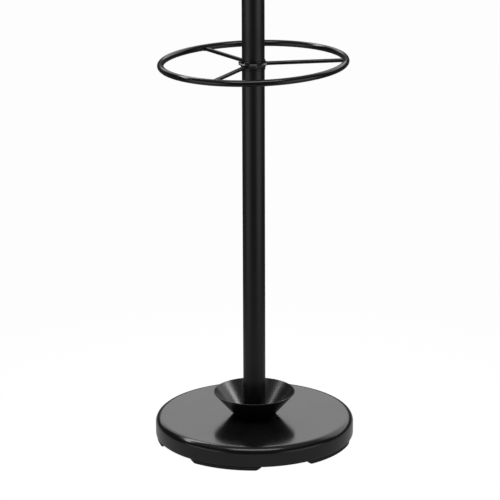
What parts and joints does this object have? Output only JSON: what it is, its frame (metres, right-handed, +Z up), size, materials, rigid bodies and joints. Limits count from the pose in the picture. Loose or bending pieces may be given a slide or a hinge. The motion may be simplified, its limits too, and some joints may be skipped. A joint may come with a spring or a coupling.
{
  "type": "standing coat rack",
  "caption": "Free-standing coat rack: weighted round base, drip cup, slim tube post, umbrella ring on a clamped collar and a turning head of ball-tipped double hooks.",
  "frame": {"origin": "on the floor, at the centre of the round base and on the post's axis", "axes": "+Z up along the post; -Y is the front that faces a viewer; +X to that viewer's right"},
  "size_m": [0.358, 0.358, 1.8643],
  "materials": {
    "base_paint": "satin black coat, semi-gloss at a low angle",
    "cup_paint": "smooth semi-gloss black coat",
    "tube_paint": "satin black powder coat",
    "ring_paint": "satin black powder coat",
    "head_paint": "satin black powder coat",
    "peg_paint": "satin black powder coat",
    "tip_plastic": "smooth black moulding",
    "pan_plastic": "fine matte texture",
    "foot_rubber": "matte black",
    "ballast_iron": "rough as cast",
    "zinc_steel": "bright zinc plate",
    "black_screw": "black oxide",
    "plug_aluminium": "as turned",
    "bearing_plastic": "natural bearing plastic"
  },
  "bodies": {
    "stand": {"base_cover": "base_paint", "base_ballast": "ballast_iron", "base_pan": "pan_plastic", "foot_1": "foot_rubber", "foot_2": "foot_rubber", "foot_3": "foot_rubber", "foot_4": "foot_rubber", "foot_5": "foot_rubber", "pan_screws": "black_screw", "base_bolt": "zinc_steel", "base_washer": "zinc_steel", "drip_cup": "cup_paint", "lower_tube": "tube_paint", "middle_tube": "tube_paint", "upper_tube": "tube_paint", "foot_plug": "plug_aluminium", "joint_1_lower_plug": "plug_aluminium", "joint_1_upper_plug": "plug_aluminium", "joint_1_stud": "zinc_steel", "joint_2_lower_plug": "plug_aluminium", "joint_2_upper_plug": "plug_aluminium", "joint_2_stud": "zinc_steel", "head_spigot": "zinc_steel", "thrust_washer": "bearing_plastic", "retaining_washer": "zinc_steel", "retaining_screw": "zinc_steel"},
    "umbrella_ring": {"outer_ring": "ring_paint", "spoke_1": "ring_paint", "spoke_2": "ring_paint", "spoke_3": "ring_paint", "ring_collar": "ring_paint", "collar_screws": "black_screw"},
    "hook_head": {"head_sleeve": "head_paint", "lower_bush": "bearing_plastic", "upper_bush": "bearing_plastic", "head_cap": "tip_plastic", "upper_peg_1": "peg_paint", "upper_peg_2": "peg_paint", "upper_peg_3": "peg_paint", "upper_peg_4": "peg_paint", "lower_peg_1": "peg_paint", "lower_peg_2": "peg_paint", "lower_peg_3": "peg_paint", "lower_peg_4": "peg_paint", "upper_tip_1": "tip_plastic", "upper_tip_2": "tip_plastic", "upper_tip_3": "tip_plastic", "upper_tip_4": "tip_plastic", "lower_tip_1": "tip_plastic", "lower_tip_2": "tip_plastic", "lower_tip_3": "tip_plastic", "lower_tip_4": "tip_plastic"}
  },
  "joints": [
    {"name": "ring_height", "type": "slide", "parent": "stand", "child": "umbrella_ring", "axis": [0, 0, 1], "range_m": [-0.2, 0.2]},
    {"name": "head_turn", "type": "hinge", "parent": "stand", "child": "hook_head", "pos_m": [0, 0, 1.692], "axis": [0, 0, 1], "continuous": true}
  ]
}
